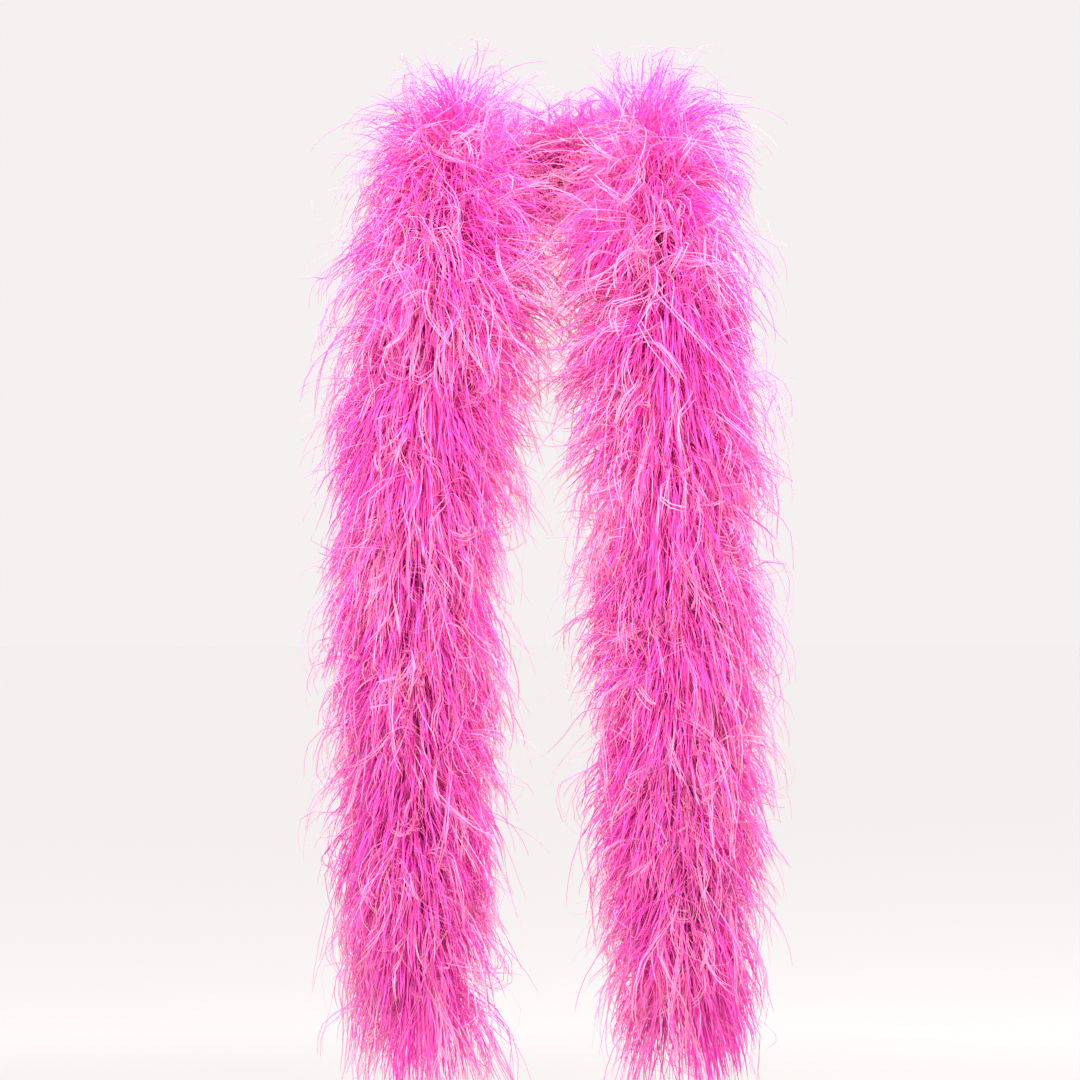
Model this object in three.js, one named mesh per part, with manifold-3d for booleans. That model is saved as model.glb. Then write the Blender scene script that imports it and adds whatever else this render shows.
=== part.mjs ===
// A full ostrich feather boa, hung round a neck with both ends down in front.
// Millimetres. +Z is up, -Y is the wearer's front and +X is the right-hand end as seen from the front.
// The origin is the middle of the neck opening, level with the nape.
//
// Six plies of feather are wound round a core cord. The boa bends anywhere along its length, and here it
// bends at three ball-shaped joints in each hanging arm, so cord and plies are divided at those joints.

import * as THREE from 'three';
import { mergeVertices } from 'three/addons/utils/BufferGeometryUtils.js';
import Module from 'manifold-3d';

const wasm = await Module();
wasm.setup();

// ---- Sizes ----

const CORD_DIAMETER = 8;
const CORD_SIDES = 8;
const PLY_COUNT = 6;
const PLY_LAY = 640; // length of cord in which a ply goes once round
const PLY_ROOT_WIDTH = 3.6; // across a ply's quill strip
const PLY_TIP_WIDTH = 27; // across the spread of its barbs at the pile's surface
const PLY_CLEARANCE = 1.4; // from the cord to the quill strips
const PILE_SCALE = 1; // on the pile radii of the route below
const NECK_OPENING = 118; // diameter of the round space that the pile leaves for the neck
const ARM_GAP = 2; // between the piles of the two arms where they hang side by side
const STEP_LENGTH = 30; // between the cross-sections of a ply
const CORD_STEP = 22;

const JOINT_GAP = 4; // between the ball of an arm's piece and the cup above it
const JOINT_SWING = 32; // degrees, the widest swing that the cups leave room for
const BALL_RATIO = 1.05; // ball radius over the pile radius at the joint
const CORD_GAP = 3; // between the cord's pieces at a joint

const WHIPPING_LENGTH = 16;
const WHIPPING_THICKNESS = 1.6;
const WHIPPING_SETBACK = 6; // from the cord's end
const KNOT_DIAMETER = 15;
const FIT_CLEARANCE = 0.4; // between pieces that touch: cord, whipping, knot
const END_CLEARANCE = 1.5; // from the plies to the whipping and knot

// The cord's route, from the left end's fringe to the right end's:
// x, y, z, pile radius, and how far the wearer's body flattens the pile on the side facing it (0 to 1).
const ROUTE = [
  [-131, -142, -912, 40, 0.1],
  [-132, -142, -830, 78, 0.1],
  [-135, -142, -750, 82, 0.1],
  [-137, -142, -670, 85, 0.12],
  [-137, -142, -610, 86, 0.12],
  [-137, -142, -530, 88, 0.14],
  [-137, -142, -450, 94, 0.16],
  [-136, -142, -380, 97, 0.18],
  [-132, -141, -320, 101, 0.22],
  [-125, -139, -250, 104, 0.25],
  [-118, -136, -195, 105, 0.3],
  [-114, -130, -150, 105, 0.35],
  [-111, -116, -105, 104, 0.4],
  [-108, -94, -65, 102, 0.38],
  [-105, -64, -30, 98, 0.33],
  [-101, -30, -6, 93, 0.28],
  [-96, 5, 8, 88, 0.25],
  [-84, 45, 12, 84, 0.25],
  [-62, 76, 11, 82, 0.25],
  [-33, 93, 8, 82, 0.25],
  [0, 99, 6, 82, 0.25],
  [33, 93, 8, 82, 0.25],
  [62, 76, 11, 84, 0.25],
  [84, 45, 12, 87, 0.25],
  [96, 5, 8, 90, 0.25],
  [102, -30, -6, 94, 0.28],
  [106, -64, -30, 99, 0.33],
  [109, -94, -65, 103, 0.38],
  [112, -116, -105, 104, 0.4],
  [114, -130, -150, 105, 0.35],
  [116, -136, -195, 105, 0.3],
  [118, -139, -250, 104, 0.25],
  [120, -141, -320, 101, 0.22],
  [122, -142, -380, 98, 0.18],
  [123, -142, -450, 97, 0.16],
  [124, -142, -530, 96, 0.14],
  [125, -142, -610, 93, 0.12],
  [126, -142, -670, 88, 0.12],
  [127, -142, -750, 82, 0.1],
  [128, -142, -830, 76, 0.1],
  [127, -142, -908, 38, 0.1],
];
const CORD_ENDS = [1, 39]; // the route points where the cord starts and stops
const BODIES = [
  { name: 'left_lower', from: 0, to: 4 },
  { name: 'left_middle', from: 4, to: 7 },
  { name: 'left_upper', from: 7, to: 11 },
  { name: 'neck', from: 11, to: 29 },
  { name: 'right_upper', from: 29, to: 33 },
  { name: 'right_middle', from: 33, to: 36 },
  { name: 'right_lower', from: 36, to: 40 },
];
const SHOULDER_REST_Z = -40; // above this the pile's underside lies on the shoulders
const UNDERSIDE_FLATTENING = 0.3;
const ROOT_BODY = 'neck'; // the body that the wearer holds

const cordRadius = CORD_DIAMETER / 2;
const plyInner = cordRadius + PLY_CLEARANCE;
const whippingInner = cordRadius + FIT_CLEARANCE;
const whippingOuter = whippingInner + WHIPPING_THICKNESS;
const knotRadius = KNOT_DIAMETER / 2;
const plyInnerAtEnd = Math.max(whippingOuter, knotRadius) + END_CLEARANCE;

// ---- Materials ----

function material(color, roughness) {
  return new THREE.MeshStandardMaterial({ color, roughness, metalness: 0 });
}

const featherPink = material('#ff4ec0', 0.85);
const cordPink = material('#e23f9f', 0.8);
const threadPink = material('#f03fae', 0.6);

// ---- The route, with its length and frames ----

const SAMPLES_PER_POINT = 24;

class Route {
  constructor(points) {
    this.points = points;
    this.curve = new THREE.CatmullRomCurve3(points.map(([x, y, z]) => new THREE.Vector3(x, y, z)));
    const count = (points.length - 1) * SAMPLES_PER_POINT;
    this.samples = [];
    let length = 0;
    let side = new THREE.Vector3(-1, 0, 0);
    for (let i = 0; i <= count; i++) {
      const at = this.curve.getPoint(i / count);
      const tangent = this.curve.getTangent(i / count);
      side = side.clone().addScaledVector(tangent, -side.dot(tangent)).normalize();
      if (i > 0) length += at.distanceTo(this.samples[i - 1].at);
      this.samples.push({ index: i / SAMPLES_PER_POINT, at, tangent, side, length });
    }
  }

  // How far along the route its point number `index` is.
  lengthAt(index) {
    return this.samples[Math.round(index * SAMPLES_PER_POINT)].length;
  }

  // Place, tangent, two sideways directions and the route's own figures at a distance along it.
  stationAt(length) {
    const last = this.samples.length - 1;
    let i = 1;
    while (i < last && this.samples[i].length < length) i++;
    const [a, b] = [this.samples[i - 1], this.samples[i]];
    const share = THREE.MathUtils.clamp((length - a.length) / (b.length - a.length), 0, 1);
    const tangent = a.tangent.clone().lerp(b.tangent, share).normalize();
    const side = a.side.clone().lerp(b.side, share);
    side.addScaledVector(tangent, -side.dot(tangent)).normalize();
    const index = THREE.MathUtils.lerp(a.index, b.index, share);
    const low = Math.min(Math.floor(index), this.points.length - 2);
    const figure = (k) => THREE.MathUtils.lerp(this.points[low][k], this.points[low + 1][k], index - low);
    return {
      length,
      index,
      at: a.at.clone().lerp(b.at, share),
      tangent,
      side,
      across: tangent.clone().cross(side),
      pile: figure(3) * PILE_SCALE,
      flattening: figure(4),
    };
  }
}

const route = new Route(ROUTE);
const cordSpan = CORD_ENDS.map((index) => route.lengthAt(index));

// How far a point can go in a direction before it meets the upright cylinder of the neck opening.
function reachToNeck(at, direction) {
  const along = at.x * direction.x + at.y * direction.y;
  const flat = direction.x ** 2 + direction.y ** 2;
  const root = along ** 2 - flat * (at.x ** 2 + at.y ** 2 - (NECK_OPENING / 2) ** 2);
  return along < 0 && root > 0 ? (-along - Math.sqrt(root)) / flat : Infinity;
}

// How far a point of one arm can go in a direction before its ply meets the other arm's.
function reachToOtherArm(at, direction) {
  const inward = -Math.sign(at.x) * direction.x;
  const room = Math.abs(at.x) - (ARM_GAP + PLY_TIP_WIDTH) / 2;
  return inward > 0 && at.y < 0 && room > 0 ? room / inward : Infinity;
}

// How far the pile reaches from the cord in a direction, at a station. The neck, the shoulders, the chest and
// the other arm each press it flatter on the side that faces them.
function pileRadius(station, direction) {
  const towardsWearer = new THREE.Vector3(-station.at.x, -station.at.y, 0).normalize();
  const besideBody = THREE.MathUtils.smoothstep(-station.at.y, 0, 100);
  towardsWearer.lerp(new THREE.Vector3(0, 1, 0), besideBody).normalize();
  const facing = Math.max(0, direction.dot(towardsWearer));
  const resting = station.at.z > SHOULDER_REST_Z ? Math.max(0, -direction.z) : 0;
  const pressed = (1 - station.flattening * facing ** 1.5) * (1 - UNDERSIDE_FLATTENING * resting ** 2);
  const limits = [reachToNeck(station.at, direction), reachToOtherArm(station.at, direction)];
  return Math.min(station.pile * pressed, ...limits);
}

// How far a ply's quill strip lies from the cord's middle: it opens out round the whipping and the knot.
function plyInnerAt(length) {
  const fromEnd = Math.min(length - cordSpan[0], cordSpan[1] - length);
  const bound = WHIPPING_SETBACK + WHIPPING_LENGTH;
  const share = THREE.MathUtils.clamp(fromEnd / bound - 1, 0, 2) / 2;
  return THREE.MathUtils.lerp(plyInnerAtEnd, plyInner, share);
}

// ---- Solids ----

function solidOf(geometry) {
  const bare = geometry.index ? geometry.toNonIndexed() : geometry.clone();
  bare.deleteAttribute('normal');
  bare.deleteAttribute('uv');
  const merged = mergeVertices(bare, 1e-3);
  return new wasm.Manifold(new wasm.Mesh({
    numProp: 3,
    vertProperties: merged.attributes.position.array,
    triVerts: new Uint32Array(merged.index.array),
  }));
}

function geometryOf(solid) {
  const mesh = solid.getMesh();
  const geometry = new THREE.BufferGeometry();
  geometry.setAttribute('position', new THREE.BufferAttribute(mesh.vertProperties, 3));
  geometry.setIndex(new THREE.BufferAttribute(mesh.triVerts, 1));
  geometry.computeVertexNormals();
  return geometry;
}

// A closed skin over a row of four-cornered cross-sections.
function sweep(sections) {
  const vertices = sections.flat().flatMap((v) => [v.x, v.y, v.z]);
  const faces = [];
  const corners = 4;
  for (let i = 0; i + 1 < sections.length; i++) {
    for (let k = 0; k < corners; k++) {
      const a = i * corners + k;
      const b = i * corners + ((k + 1) % corners);
      faces.push(a, b, b + corners, a, b + corners, a + corners);
    }
  }
  const last = (sections.length - 1) * corners;
  faces.push(0, 2, 1, 0, 3, 2);
  faces.push(last, last + 1, last + 2, last, last + 2, last + 3);
  const geometry = new THREE.BufferGeometry();
  geometry.setAttribute('position', new THREE.Float32BufferAttribute(vertices, 3));
  geometry.setIndex(faces);
  return geometry;
}

// The wedge of one ply's barbs between two distances along the route, from the cord to the pile's surface.
function plySolid(ply, start, stop) {
  const steps = Math.max(2, Math.ceil((stop - start) / STEP_LENGTH));
  const sections = [];
  for (let i = 0; i <= steps; i++) {
    const station = route.stationAt(THREE.MathUtils.lerp(start, stop, i / steps));
    const angle = 2 * Math.PI * (ply / PLY_COUNT + station.length / PLY_LAY);
    const outward = station.side.clone().multiplyScalar(Math.cos(angle));
    outward.addScaledVector(station.across, Math.sin(angle));
    const sideways = station.tangent.clone().cross(outward);
    const corner = (radius, width) =>
      station.at.clone().addScaledVector(outward, radius).addScaledVector(sideways, width / 2);
    const inner = plyInnerAt(station.length);
    const outer = pileRadius(station, outward);
    sections.push([
      corner(inner, -PLY_ROOT_WIDTH),
      corner(outer, -PLY_TIP_WIDTH),
      corner(outer, PLY_TIP_WIDTH),
      corner(inner, PLY_ROOT_WIDTH),
    ]);
  }
  return solidOf(sweep(sections));
}

// A cut's edge can leave a sliver beside the ply: only the ply is kept.
function largestBody(solid) {
  return solid.decompose().reduce((a, b) => (a.volume() > b.volume() ? a : b));
}

// Turns a shape made along +Y so that +Y lies along a direction, at a point.
function placed(geometry, at, direction) {
  const turn = new THREE.Quaternion().setFromUnitVectors(new THREE.Vector3(0, 1, 0), direction);
  return geometry.applyQuaternion(turn).translate(at.x, at.y, at.z);
}

// The joint at a route point: `up` leads along the route to the neck, which carries the cup.
function jointAt(index) {
  const station = route.stationAt(route.lengthAt(index));
  const leftArm = station.at.x < 0;
  const up = station.tangent.clone().multiplyScalar(leftArm ? 1 : -1);
  return { at: station.at, up, radius: station.pile * BALL_RATIO, length: station.length };
}

function ball(joint, radius) {
  return solidOf(placed(new THREE.SphereGeometry(radius, 20, 14), joint.at, joint.up));
}

// What an arm's piece gives up above its own joint: all but the ball, and a cone for the cord's swing.
function aboveJoint(joint) {
  const height = joint.radius * 3;
  const width = joint.radius * 4;
  const middle = joint.at.clone().addScaledVector(joint.up, height / 2);
  const collar = solidOf(placed(new THREE.CylinderGeometry(width, width, height, 12), middle, joint.up));
  const slope = Math.tan(THREE.MathUtils.degToRad(JOINT_SWING));
  const coneBase = plyInner + 1;
  const cone = solidOf(placed(
    new THREE.CylinderGeometry(coneBase + height * slope, coneBase, height, 12),
    middle,
    joint.up,
  ));
  return collar.subtract(ball(joint, joint.radius)).add(cone);
}

// A round cord between two distances along the route.
function cordGeometry(start, stop) {
  const steps = Math.max(2, Math.ceil((stop - start) / CORD_STEP));
  const points = [];
  for (let i = 0; i <= steps; i++) {
    points.push(route.stationAt(THREE.MathUtils.lerp(start, stop, i / steps)).at);
  }
  const section = new THREE.Shape();
  for (let i = 0; i < CORD_SIDES; i++) {
    const angle = (2 * Math.PI * i) / CORD_SIDES;
    section[i ? 'lineTo' : 'moveTo'](cordRadius * Math.cos(angle), cordRadius * Math.sin(angle));
  }
  section.closePath();
  return new THREE.ExtrudeGeometry(section, { steps, extrudePath: new THREE.CatmullRomCurve3(points) });
}

// ---- Assembly ----

const boa = new THREE.Group();
boa.name = 'feather_boa';

function addNode(name, geometry, itsMaterial) {
  const mesh = new THREE.Mesh(geometry, itsMaterial);
  mesh.name = name;
  boa.add(mesh);
}

for (const body of BODIES) {
  const ends = [body.from, body.to];
  const joints = ends.filter((index) => index > 0 && index < ROUTE.length - 1).map(jointAt);
  // The joint nearer the neck is the body's own; the root body has none.
  const own = body.name === ROOT_BODY ? null : joints.reduce((a, b) => (a.at.z > b.at.z ? a : b));
  const carried = joints.filter((joint) => joint !== own);
  const cuts = carried.map((joint) => ball(joint, joint.radius + JOINT_GAP));
  const span = ends.map((index) => route.lengthAt(index));
  const cordPart = [Math.max(span[0], cordSpan[0]), Math.min(span[1], cordSpan[1])];
  if (own) {
    cuts.push(aboveJoint(own));
    const leftArm = own.length === span[1];
    span[leftArm ? 1 : 0] += leftArm ? own.radius : -own.radius;
  }
  for (const joint of joints) {
    const atStop = Math.abs(joint.length - cordPart[1]) < Math.abs(joint.length - cordPart[0]);
    cordPart[atStop ? 1 : 0] += atStop ? -CORD_GAP / 2 : CORD_GAP / 2;
  }
  addNode(`${body.name}_core_cord`, cordGeometry(...cordPart), cordPink);
  for (let ply = 0; ply < PLY_COUNT; ply++) {
    const solid = cuts.reduce((rest, cut) => rest.subtract(cut), plySolid(ply, ...span));
    addNode(`${body.name}_ply_${ply + 1}`, geometryOf(largestBody(solid)), featherPink);
  }
}

// The thread whipping and the knot that finish each end.
function addEnd(name, endLength, inward) {
  const end = route.stationAt(endLength);
  const down = end.tangent.clone().multiplyScalar(-inward);
  const whippingMiddle = WHIPPING_SETBACK + WHIPPING_LENGTH / 2;
  const half = WHIPPING_LENGTH / 2;
  const profile = [
    [whippingInner, -half],
    [whippingOuter, -half],
    [whippingOuter, half],
    [whippingInner, half],
    [whippingInner, -half],
  ].map(([x, y]) => new THREE.Vector2(x, y));
  const whippingAt = end.at.clone().addScaledVector(down, -whippingMiddle);
  addNode(`${name}_whipping`, placed(new THREE.LatheGeometry(profile, 16), whippingAt, down), threadPink);
  const knotAt = end.at.clone().addScaledVector(down, knotRadius + FIT_CLEARANCE);
  addNode(`${name}_knot`, placed(new THREE.SphereGeometry(knotRadius, 14, 9), knotAt, down), cordPink);
}

addEnd('left_end', cordSpan[0], 1);
addEnd('right_end', cordSpan[1], -1);

export default boa;
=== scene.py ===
# %% [markdown]
# # An ostrich feather boa
# A feather boa is a cord that carries feathers. Strips of ostrich feather are joined end to end into plies,
# and six plies are wound side by side round one core cord. Each strip is a split quill, and from its edges
# grow the barbs: soft strands up to a hand's length, with no hooks to hold them together, so they hang
# loose and gather into locks. Here the cord, the plies with their quills and barbs, and the thread and knot
# at each end are built as separate pieces, on the frame that carries the boa's joints.

# %% Load the frame
import math

import bpy
import numpy as np
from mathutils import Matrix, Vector


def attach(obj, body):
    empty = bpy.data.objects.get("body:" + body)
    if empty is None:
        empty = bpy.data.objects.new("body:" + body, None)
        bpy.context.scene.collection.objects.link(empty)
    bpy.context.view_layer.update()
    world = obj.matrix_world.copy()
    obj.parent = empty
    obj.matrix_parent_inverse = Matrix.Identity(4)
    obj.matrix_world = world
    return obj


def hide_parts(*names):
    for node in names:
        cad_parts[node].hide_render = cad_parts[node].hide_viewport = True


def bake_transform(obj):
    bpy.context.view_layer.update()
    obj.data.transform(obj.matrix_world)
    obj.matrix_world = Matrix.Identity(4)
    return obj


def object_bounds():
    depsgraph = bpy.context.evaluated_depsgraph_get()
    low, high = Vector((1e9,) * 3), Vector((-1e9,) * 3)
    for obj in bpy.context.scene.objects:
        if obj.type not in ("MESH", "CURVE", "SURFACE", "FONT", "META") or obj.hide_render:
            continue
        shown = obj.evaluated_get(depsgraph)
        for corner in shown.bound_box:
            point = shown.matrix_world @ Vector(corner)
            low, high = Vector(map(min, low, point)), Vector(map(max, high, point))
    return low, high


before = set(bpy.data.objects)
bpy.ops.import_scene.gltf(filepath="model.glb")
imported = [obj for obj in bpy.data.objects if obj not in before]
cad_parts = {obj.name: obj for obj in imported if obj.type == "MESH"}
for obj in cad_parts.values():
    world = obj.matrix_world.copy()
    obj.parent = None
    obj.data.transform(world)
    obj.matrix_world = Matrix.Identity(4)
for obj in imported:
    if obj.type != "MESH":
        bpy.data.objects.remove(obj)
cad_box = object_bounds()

MM = 0.001
SEED = 2607
rng = np.random.default_rng(SEED)


def deselect_all():
    if bpy.context.object and bpy.context.object.mode != "OBJECT":
        bpy.ops.object.mode_set(mode="OBJECT")
    bpy.ops.object.select_all(action="DESELECT")


deselect_all()
print("frame box, m:", [tuple(round(c, 3) for c in corner) for corner in cad_box])

# %% [markdown]
# ## The camera
# The boa is seen from straight in front, level with its middle, through a long lens that keeps both arms
# upright and the neck almost the same size as the arms in front of it.

# %% Camera
CAMERA_DISTANCE = 3.7  # from the arms to the lens, in metres
ARM_PLANE_Y = -0.142
VIEW_WIDTH = 1.08  # what the picture takes in at the arms
CAMERA_X, CAMERA_Z = -0.012, -0.385  # level with the middle of the boa
camera_data = bpy.data.cameras.new("camera")
camera_data.sensor_width = 36
camera_data.lens = camera_data.sensor_width * CAMERA_DISTANCE / VIEW_WIDTH
camera = bpy.data.objects.new("camera", camera_data)
camera.location = (CAMERA_X, ARM_PLANE_Y - CAMERA_DISTANCE, CAMERA_Z)
camera.rotation_euler = (math.radians(90), 0, 0)
bpy.context.scene.collection.objects.link(camera)
bpy.context.scene.camera = camera
print("lens, mm:", round(camera_data.lens, 1))

# %% [markdown]
# ## The route of the cord
# Everything on a boa follows its cord, so the route comes first. It is the frame's own route, point for
# point: up the left arm, over the shoulder, round the nape and down the right arm. With each point goes the
# radius of the pile there, and how much the wearer's body presses it flat on the side that faces it. The
# first and last points lie beyond the cord, where only the fringe of barbs reaches.

# %% Route points
ROUTE = np.array([
    (-0.131, -0.142, -0.912, 0.040, 0.10), (-0.132, -0.142, -0.830, 0.078, 0.10),
    (-0.135, -0.142, -0.750, 0.082, 0.10), (-0.137, -0.142, -0.670, 0.085, 0.12),
    (-0.137, -0.142, -0.610, 0.086, 0.12), (-0.137, -0.142, -0.530, 0.088, 0.14),
    (-0.137, -0.142, -0.450, 0.094, 0.16), (-0.136, -0.142, -0.380, 0.097, 0.18),
    (-0.132, -0.141, -0.320, 0.101, 0.22), (-0.125, -0.139, -0.250, 0.104, 0.25),
    (-0.118, -0.136, -0.195, 0.105, 0.30), (-0.114, -0.130, -0.150, 0.105, 0.35),
    (-0.111, -0.116, -0.105, 0.104, 0.40), (-0.108, -0.094, -0.065, 0.102, 0.38),
    (-0.105, -0.064, -0.030, 0.098, 0.33), (-0.101, -0.030, -0.006, 0.093, 0.28),
    (-0.096, 0.005, 0.008, 0.088, 0.25), (-0.084, 0.045, 0.012, 0.084, 0.25),
    (-0.062, 0.076, 0.011, 0.082, 0.25), (-0.033, 0.093, 0.008, 0.082, 0.25),
    (0.000, 0.099, 0.006, 0.082, 0.25), (0.033, 0.093, 0.008, 0.082, 0.25),
    (0.062, 0.076, 0.011, 0.084, 0.25), (0.084, 0.045, 0.012, 0.087, 0.25),
    (0.096, 0.005, 0.008, 0.090, 0.25), (0.102, -0.030, -0.006, 0.094, 0.28),
    (0.106, -0.064, -0.030, 0.099, 0.33), (0.109, -0.094, -0.065, 0.103, 0.38),
    (0.112, -0.116, -0.105, 0.104, 0.40), (0.114, -0.130, -0.150, 0.105, 0.35),
    (0.116, -0.136, -0.195, 0.105, 0.30), (0.118, -0.139, -0.250, 0.104, 0.25),
    (0.120, -0.141, -0.320, 0.101, 0.22), (0.122, -0.142, -0.380, 0.098, 0.18),
    (0.123, -0.142, -0.450, 0.097, 0.16), (0.124, -0.142, -0.530, 0.096, 0.14),
    (0.125, -0.142, -0.610, 0.093, 0.12), (0.126, -0.142, -0.670, 0.088, 0.12),
    (0.127, -0.142, -0.750, 0.082, 0.10), (0.128, -0.142, -0.830, 0.076, 0.10),
    (0.127, -0.142, -0.908, 0.038, 0.10),
])
CORD_ENDS = (1, 39)  # the route points where the cord starts and stops
JOINTS = {"left_lower": 4, "left_middle": 7, "left_upper": 11,  # each body's joint is at this route point
          "right_upper": 29, "right_middle": 33, "right_lower": 36}
PARENTS = {"left_lower": "left_middle", "left_middle": "left_upper", "left_upper": "neck",
           "right_lower": "right_middle", "right_middle": "right_upper", "right_upper": "neck"}
CORD_RADIUS = 4 * MM
CORD_GAP = 3 * MM  # between the cord's lengths at a joint
NECK_OPENING_RADIUS = 59 * MM

# %% [markdown]
# A smooth curve through the points is a centripetal Catmull-Rom spline. From it come the cord's length and,
# at each place along it, the direction it runs in and two directions across it that don't spin as it bends.

# %% Smooth route
SAMPLES = 24  # between two route points


def catmull_rom(points, per_span):
    """Places on the centripetal Catmull-Rom spline through the points."""
    ends = np.vstack([2 * points[0] - points[1], points, 2 * points[-1] - points[-2]])
    share = np.arange(per_span)[:, None] / per_span
    out = []
    for a, b, c, d in zip(ends, ends[1:], ends[2:], ends[3:]):
        ab, bc, cd = (math.sqrt(np.linalg.norm(q - p)) for p, q in ((a, b), (b, c), (c, d)))
        leave = ((b - a) / ab - (c - a) / (ab + bc) + (c - b) / bc) * bc
        arrive = ((c - b) / bc - (d - b) / (bc + cd) + (d - c) / cd) * bc
        cubic = 2 * b - 2 * c + leave + arrive
        square = -3 * b + 3 * c - 2 * leave - arrive
        out.append(b + leave * share + square * share**2 + cubic * share**3)
    return np.vstack([*out, points[-1:]])


def unit(v):
    """Each row of v at length one."""
    return v / np.maximum(np.linalg.norm(v, axis=-1, keepdims=True), 1e-12)


line = catmull_rom(ROUTE[:, :3], SAMPLES)
line_length = np.concatenate([[0], np.cumsum(np.linalg.norm(np.diff(line, axis=0), axis=1))])
line_index = np.arange(len(line)) / SAMPLES
line_tangent = unit(np.gradient(line, axis=0))
line_side = np.zeros_like(line)
side = np.array([-1.0, 0, 0])
for i, tangent in enumerate(line_tangent):
    side = unit(side - tangent * side.dot(tangent))
    line_side[i] = side


def length_at(index):
    """How far along the route its point number `index` lies."""
    return line_length[int(index * SAMPLES)]


def along(table, s):
    """A table of values by route sample, read at distances s along the route."""
    return np.stack([np.interp(s, line_length, column) for column in table.T], axis=-1)


def stations(s):
    """Place, tangent, side and across directions, pile radius and flattening at distances s."""
    at, tangent = along(line, s), unit(along(line_tangent, s))
    across_a = along(line_side, s)
    across_a = unit(across_a - tangent * (across_a * tangent).sum(-1, keepdims=True))
    across_b = np.cross(tangent, across_a)
    index = np.interp(s, line_length, line_index)
    pile, flat = (np.interp(index, np.arange(len(ROUTE)), ROUTE[:, k]) for k in (3, 4))
    return at, tangent, across_a, across_b, pile, flat


cord_start, cord_stop = (length_at(i) for i in CORD_ENDS)
print("cord length, m:", round(cord_stop - cord_start, 3))

# %% [markdown]
# ## The core cord
# The cord is a plain twisted one, three strands laid round each other, dyed with the feathers. It could be
# a round curve, but the strands are what makes a cord look like cord, so it is a tube whose radius dips
# between the strands, and the dips wind round as the tube goes along. It bends with the boa, so it is made
# in the frame's seven lengths, each on its own body.

# %% A tube with strands
STRANDS = 3
STRAND_LAY = 26 * MM  # of cord in which a strand goes once round
STRAND_DIP = 0.16  # of the cord's radius, between two strands
CORD_STEP = 2.2 * MM
CORD_SIDES = 18


def new_mesh_object(name, vertices, faces, uvs=None):
    """A mesh object at the origin. uvs holds one (u, v) for each corner of each face in turn."""
    mesh = bpy.data.meshes.new(name)
    mesh.from_pydata(vertices, [], faces)
    if uvs is not None:
        mesh.uv_layers.new(name="OFBake").data.foreach_set("uv", np.asarray(uvs, np.float32).ravel())
    mesh.validate()
    made = bpy.data.objects.new(name, mesh)
    bpy.context.scene.collection.objects.link(made)
    return made


def tube(name, path, radius_at, sides):
    """A closed tube along a path. radius_at gives the radius by angle and by distance along it."""
    path = np.asarray(path)
    tangent = unit(np.gradient(path, axis=0))
    distance = np.concatenate([[0], np.cumsum(np.linalg.norm(np.diff(path, axis=0), axis=1))])
    reference = np.array([1.0, 0, 0]) if abs(tangent[0][0]) < 0.7 else np.array([0, 1.0, 0])
    angle = 2 * np.pi * np.arange(sides) / sides
    vertices, faces, uvs = [], [], []
    for p, t, d in zip(path, tangent, distance):
        reference = unit(reference - t * reference.dot(t))
        other = np.cross(t, reference)
        r = radius_at(angle, d)[:, None]
        vertices.extend(p + r * (np.cos(angle)[:, None] * reference + np.sin(angle)[:, None] * other))
    for i in range(len(path) - 1):
        for k in range(sides):
            a, b = i * sides + k, i * sides + (k + 1) % sides
            faces.append((a, b, b + sides, a + sides))
            u0, u1, v0, v1 = k / sides, (k + 1) / sides, distance[i], distance[i + 1]
            uvs += [(u0, v0), (u1, v0), (u1, v1), (u0, v1)]
    last = (len(path) - 1) * sides
    faces += [tuple(range(sides))[::-1], tuple(range(last, last + sides))]
    uvs += [(0.5, 0)] * sides + [(0.5, distance[-1])] * sides
    uvs = np.array(uvs)
    uvs[:, 1] /= distance[-1]
    made = new_mesh_object(name, [tuple(v) for v in vertices], faces, uvs)
    for polygon in made.data.polygons:
        polygon.use_smooth = True
    return made


def strand_radius(angle, distance):
    """Three round strands wound together: the outline touches CORD_RADIUS at each strand's crest."""
    turn = 2 * np.pi * distance / STRAND_LAY
    return CORD_RADIUS * (1 - STRAND_DIP + STRAND_DIP * np.abs(np.cos(STRANDS / 2 * (angle - turn))))


# %% Cord lengths, one for each body
SEGMENTS = {
    "left_lower": (0, 4), "left_middle": (4, 7), "left_upper": (7, 11), "neck": (11, 29),
    "right_upper": (29, 33), "right_middle": (33, 36), "right_lower": (36, 40),
}
cord_paths = {}
cord_pieces = {}
for body, (first, last) in SEGMENTS.items():
    low = cord_start if first == 0 else length_at(first) + CORD_GAP / 2
    high = cord_stop if last == len(ROUTE) - 1 else length_at(last) - CORD_GAP / 2
    steps = round((high - low) / CORD_STEP)
    path = stations(np.linspace(low, high, steps + 1))[0]
    if body.startswith("left") or body == "neck":
        path = path[::-1]  # from the end nearer the neck, or from the right for the neck's own
    cord_paths[body] = path
    cord_pieces[body] = tube(f"{body}_cord", path, strand_radius, CORD_SIDES)
    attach(cord_pieces[body], body)
    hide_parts(f"{body}_core_cord")
    print(body, "cord, m:", round(high - low, 3))

# %% [markdown]
# ## Whipping and knot
# Each end of the cord is tied off: turns of dyed thread bind the plies to it, and a knot below them stops
# the plies slipping off. The whipping is one turn of thread, a torus, copied side by side along the cord.
# The knot is a thinner cord led round the closed path of an overhand knot, which is a trefoil.

# %% Whipping
THREAD_RADIUS = 0.8 * MM
WHIPPING_LENGTH = 16 * MM
WHIPPING_SETBACK = 6 * MM  # from the cord's end
FIT_CLEARANCE = 0.4 * MM
WHIPPING_RING = CORD_RADIUS + FIT_CLEARANCE + THREAD_RADIUS
THREAD_PACKING = 0.985  # of a thread's width, from one turn to the next


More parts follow.
